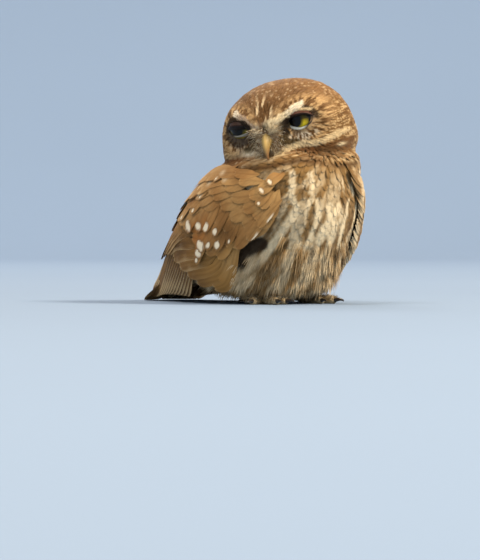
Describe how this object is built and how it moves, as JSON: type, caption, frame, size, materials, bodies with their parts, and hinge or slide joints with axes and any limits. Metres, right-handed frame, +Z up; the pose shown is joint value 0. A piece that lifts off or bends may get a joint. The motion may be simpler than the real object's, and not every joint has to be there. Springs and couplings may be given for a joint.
{
  "type": "little owl model",
  "caption": "A still, life-size model of a little owl, crouched on its feet and tail tip, with its wings folded and its head turned over the right shoulder.",
  "frame": {"origin": "centre of the bounding box on the floor, under the soles and the tail's flat", "axes": "+Z up; the body faces -Y and the tail points along +Y; the owl's left is +X"},
  "size_m": [0.0944, 0.1638, 0.127],
  "materials": {
    "brown plumage": "matte",
    "streaked plumage": "matte",
    "bill horn": "satin",
    "claw horn": "satin",
    "toe skin": "matte",
    "eye": "gloss"
  },
  "bodies": {
    "root": {"head": "brown plumage", "neck": "streaked plumage", "torso": "streaked plumage", "tail": "brown plumage", "wing_right": "brown plumage", "wing_left": "brown plumage", "leg_right": "streaked plumage", "leg_left": "streaked plumage", "foot_right": "toe skin", "foot_left": "toe skin", "claw_right_1": "claw horn", "claw_right_2": "claw horn", "claw_right_3": "claw horn", "claw_right_4": "claw horn", "claw_left_1": "claw horn", "claw_left_2": "claw horn", "claw_left_3": "claw horn", "claw_left_4": "claw horn", "eye_right": "eye", "eye_left": "eye", "bill_upper": "bill horn", "bill_lower": "bill horn"}
  },
  "joints": []
}
